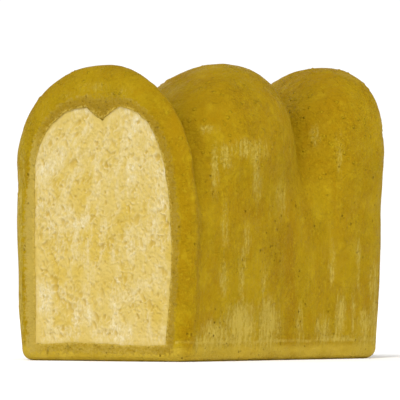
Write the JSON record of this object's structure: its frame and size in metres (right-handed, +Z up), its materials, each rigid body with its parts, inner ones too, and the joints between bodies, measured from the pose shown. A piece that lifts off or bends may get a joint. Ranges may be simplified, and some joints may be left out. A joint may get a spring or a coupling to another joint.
{
  "type": "tin loaf",
  "caption": "Tall humped tin loaf of white bread with one end cut off, showing pale crumb inside a browned crust.",
  "frame": {"origin": "middle of the bounding box across and along, at the level of the flat base", "axes": "+Z up, Y along the loaf with the cut face towards -Y and the rounded heel towards +Y, X across the loaf"},
  "size_m": [0.134, 0.1956, 0.1653],
  "materials": {
    "bread": "matt baked crust, browned gold; pale crumb on the cut face"
  },
  "bodies": {
    "root": {"loaf": "bread"}
  },
  "joints": []
}
